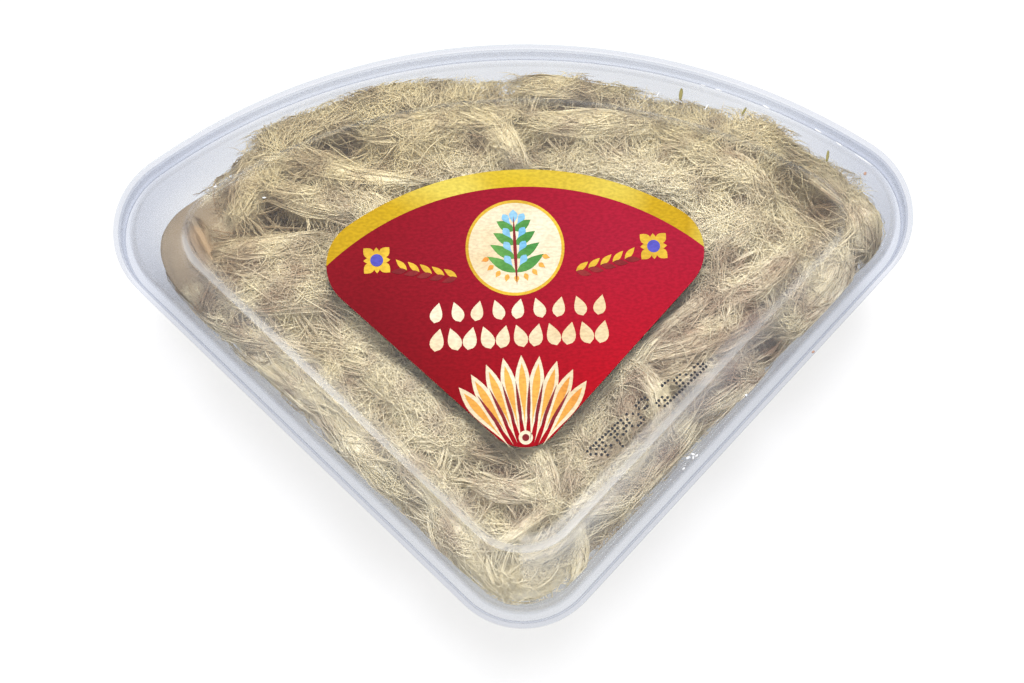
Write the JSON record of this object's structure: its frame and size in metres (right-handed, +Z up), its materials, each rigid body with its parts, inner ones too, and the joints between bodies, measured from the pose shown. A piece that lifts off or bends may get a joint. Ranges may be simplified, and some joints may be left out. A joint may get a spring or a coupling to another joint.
{
  "type": "fan-shaped tub of flaky halva",
  "caption": "Shut, clear quarter-fan tub with a press-on lid and a printed paper label, packed with locks of pale, thread-like flaky halva.",
  "frame": {"origin": "centre of the bounding box's bottom face, on the tub's flat base", "axes": "+X across the fan, its longest extent; +Y from the fan's apex towards its long arc; +Z up, its shortest extent"},
  "size_m": [0.163, 0.12, 0.0422],
  "materials": {
    "tub_plastic": "clear, slightly milky moulded plastic",
    "lid_plastic": "clear, slightly milky moulded plastic",
    "label_paper": "printed, finely embossed, satin",
    "halva_strands": "dull, fibrous, pale cream strands"
  },
  "bodies": {
    "root": {"tub": "tub_plastic", "lid": "lid_plastic", "label": "label_paper", "halva": "halva_strands"}
  },
  "joints": []
}
